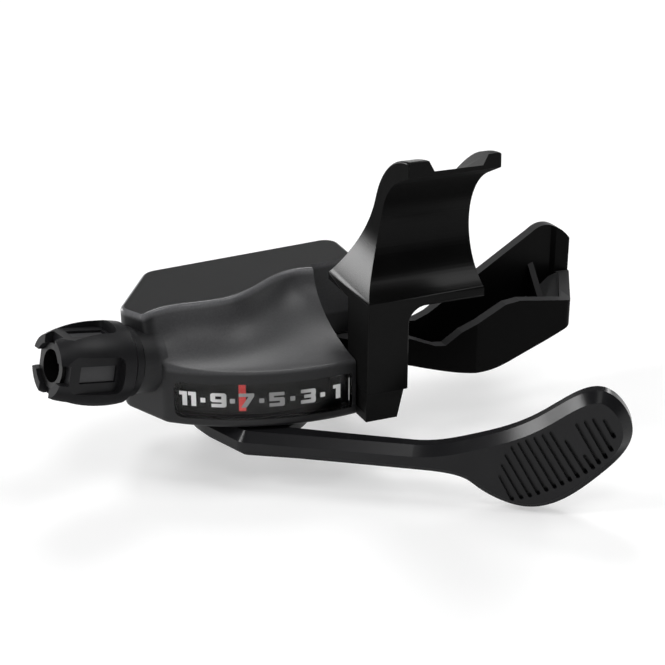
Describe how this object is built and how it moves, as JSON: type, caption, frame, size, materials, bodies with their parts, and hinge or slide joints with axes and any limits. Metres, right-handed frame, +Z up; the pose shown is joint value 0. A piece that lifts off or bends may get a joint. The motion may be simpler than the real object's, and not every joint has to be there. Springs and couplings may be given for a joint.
{
  "type": "trigger gear shifter",
  "caption": "Right-hand trigger shifter for a flat handlebar: housing with a gear window, half clamp, grooved thumb lever, hollow release lever and cable adjuster.",
  "frame": {"origin": "on the handlebar's axis, in the middle of the clamp band", "axes": "+X along the handlebar towards its right end, +Y forward and away from the rider, +Z up"},
  "size_m": [0.1042, 0.064, 0.0573],
  "materials": {
    "cover_plastic": "dark grey moulded plastic with a fine grain",
    "base_plastic": "black moulded plastic",
    "bracket_paint": "satin black paint on a casting",
    "lens_plastic": "clear gloss plastic",
    "scale_plastic": "black plastic",
    "needle_plastic": "red plastic",
    "steel": "zinc-plated steel",
    "spring_steel": "bare spring steel",
    "drum_plastic": "natural acetal",
    "lever_plastic": "satin black moulded plastic",
    "release_paint": "satin black paint on a casting",
    "knob_plastic": "satin black moulded plastic",
    "core_plastic": "dark grey plastic with a slight gloss"
  },
  "bodies": {
    "housing": {"upper_cover": "cover_plastic", "base_cover": "base_plastic", "clamp_bracket": "bracket_paint", "bracket_screw": "steel", "cover_screws": "steel", "indicator_lens": "lens_plastic", "indicator_scale": "scale_plastic", "main_axle": "steel", "axle_washer": "steel", "frame_plate": "steel", "frame_posts": "steel", "holding_pawl_pin": "steel", "pawl_spring": "spring_steel", "release_pin": "steel"},
    "thumb_lever": {"main_lever": "lever_plastic", "lever_plate": "steel", "winding_pawl_pin": "steel", "lever_spring": "spring_steel"},
    "winding_pawl": {"winding_pawl": "steel"},
    "drum": {"cable_drum": "drum_plastic", "ratchet_plate": "steel", "drum_spring": "spring_steel"},
    "needle": {"indicator_needle": "needle_plastic"},
    "holding_pawl": {"holding_pawl": "steel"},
    "release_lever": {"release_lever": "release_paint", "release_spring": "spring_steel"},
    "adjuster": {"adjuster_knob": "knob_plastic", "adjuster_core": "core_plastic", "adjuster_spring": "spring_steel"}
  },
  "joints": [
    {"name": "main_lever_swing", "type": "hinge", "parent": "housing", "child": "thumb_lever", "pos_m": [-0.0283, 0.0227, 0], "axis": [0, 0, 1], "range_deg": [0, 24], "stiffness_Nm_per_rad": 0.3, "springref_deg": -17.19},
    {"name": "release_lever_pull", "type": "hinge", "parent": "housing", "child": "release_lever", "pos_m": [-0.0095, 0.035, 0], "axis": [0, 0, 1], "range_deg": [-9, 0], "stiffness_Nm_per_rad": 0.2, "springref_deg": 17.19},
    {"name": "drum_turn", "type": "hinge", "parent": "housing", "child": "drum", "pos_m": [-0.0283, 0.0227, 0], "axis": [0, 0, 1], "range_deg": [-58, 87]},
    {"name": "needle_swing", "type": "hinge", "parent": "housing", "child": "needle", "pos_m": [-0.0252, 0.0351, 0], "axis": [0, 0, 1], "range_deg": [-21, 31]},
    {"name": "holding_pawl_lift", "type": "hinge", "parent": "housing", "child": "holding_pawl", "pos_m": [-0.0252, 0.0351, 0], "axis": [0, 0, 1], "range_deg": [0, 15]},
    {"name": "winding_pawl_lift", "type": "hinge", "parent": "thumb_lever", "child": "winding_pawl", "pos_m": [-0.03563, 0.03143, 0], "axis": [0, 0, 1], "range_deg": [-8, 0], "stiffness_Nm_per_rad": 0.002, "springref_deg": 11.46},
    {"name": "adjuster_turn", "type": "hinge", "parent": "housing", "child": "adjuster", "pos_m": [-0.0472, 0.0233, -0.0222], "axis": [-0.9475, -0.2406, 0.2106], "continuous": true}
  ],
  "couplings": [
    {"joint": "needle_swing", "follows": "drum_turn", "ratio": 0.351},
    {"joint": "holding_pawl_lift", "follows": "release_lever_pull", "ratio": -1.6}
  ]
}
